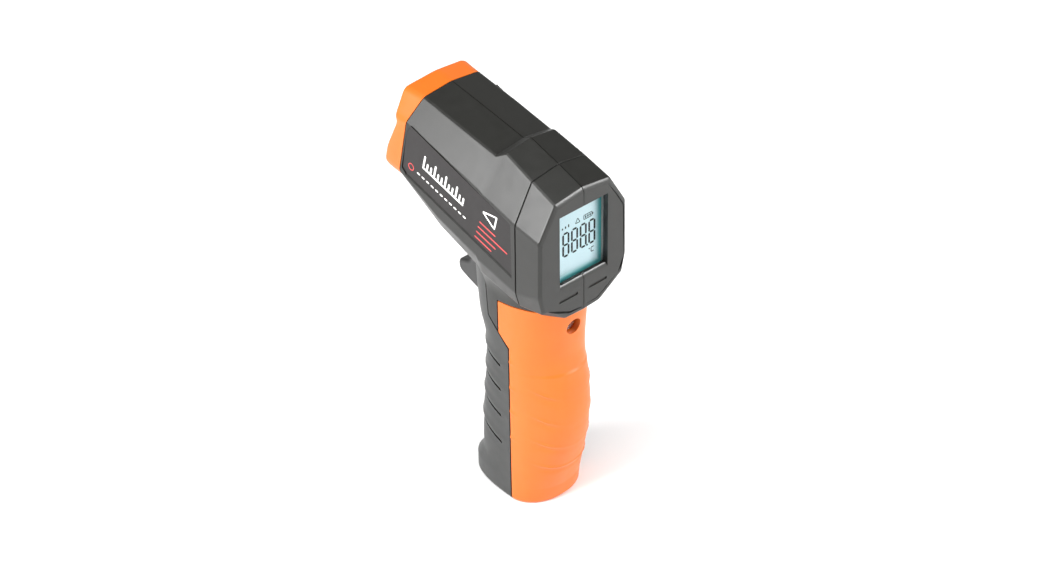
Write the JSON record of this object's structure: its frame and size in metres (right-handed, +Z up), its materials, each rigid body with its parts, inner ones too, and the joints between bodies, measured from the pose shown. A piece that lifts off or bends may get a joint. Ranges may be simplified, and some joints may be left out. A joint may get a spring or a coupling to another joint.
{
  "type": "infrared thermometer",
  "caption": "Pistol-grip infrared thermometer with a pitched barrel, rear display, pull trigger and a drop-open battery door in the grip",
  "frame": {"origin": "middle of the flat end of the grip", "axes": "+Z up along the grip, +Y the way the barrel aims seen from above, +X the user's right"},
  "size_m": [0.043, 0.0859, 0.1627],
  "materials": {
    "housing": "satin",
    "orange": "satin",
    "grip_black": "fine matte",
    "trigger_black": "satin",
    "label": "satin film",
    "window": "clear",
    "lcd": "smooth",
    "backlight": "translucent",
    "white_plastic": "satin",
    "board": "solder mask",
    "steel": "plated",
    "brass": "turned",
    "lens": "milky",
    "battery": "printed foil",
    "foam": "foam",
    "red": "insulation",
    "black_wire": "insulation",
    "chip": "matte"
  },
  "bodies": {
    "housing": {"aperture_plate": "housing", "battery_case": "battery", "battery_pad": "foam", "battery_socket": "steel", "battery_stud": "steel", "black_wire": "black_wire", "display_window": "window", "door_pin": "steel", "fresnel_lens": "lens", "grip_screw": "steel", "housing_screw_front": "steel", "housing_screw_grip": "steel", "housing_screw_neck": "steel", "housing_screw_top": "steel", "laser_body": "brass", "laser_clamp": "chip", "laser_lens": "lens", "lcd_backlight": "backlight", "lcd_frame": "white_plastic", "lcd_panel": "lcd", "left_housing": "housing", "left_label": "label", "main_board": "board", "nose_cap": "orange", "processor_chip": "chip", "rear_grip": "orange", "red_wire": "red", "right_housing": "housing", "right_label": "label", "sensor_barrel": "chip", "sensor_board": "board", "snap_connector": "chip", "switch_board": "board", "switch_body": "chip", "thermopile_sensor": "steel", "trigger_pin": "steel", "trigger_spring": "steel", "unit_selector": "steel"},
    "trigger": {"trigger": "trigger_black"},
    "plunger": {"switch_plunger": "white_plastic"},
    "battery_door": {"battery_door": "grip_black"},
    "unit_slider": {"unit_slider": "chip"}
  },
  "joints": [
    {"name": "trigger_hinge", "type": "hinge", "parent": "housing", "child": "trigger", "pos_m": [0, 0.016, 0.1175], "axis": [-1, 0, 0], "range_deg": [0, 6], "stiffness_Nm_per_rad": 0.38, "springref_deg": -5.73, "deforming": ["trigger_spring"]},
    {"name": "plunger_slide", "type": "slide", "parent": "housing", "child": "plunger", "axis": [0, -1, 0], "range_m": [0, 0.0018]},
    {"name": "battery_door_hinge", "type": "hinge", "parent": "housing", "child": "battery_door", "pos_m": [0, 0.012, 0.0036], "axis": [-1, 0, 0], "range_deg": [0, 75]},
    {"name": "unit_slide", "type": "slide", "parent": "housing", "child": "unit_slider", "axis": [1, 0, 0], "range_m": [0, 0.002]}
  ],
  "couplings": [
    {"joint": "plunger_slide", "follows": "trigger_hinge", "m_per_rad": 0.0165}
  ]
}
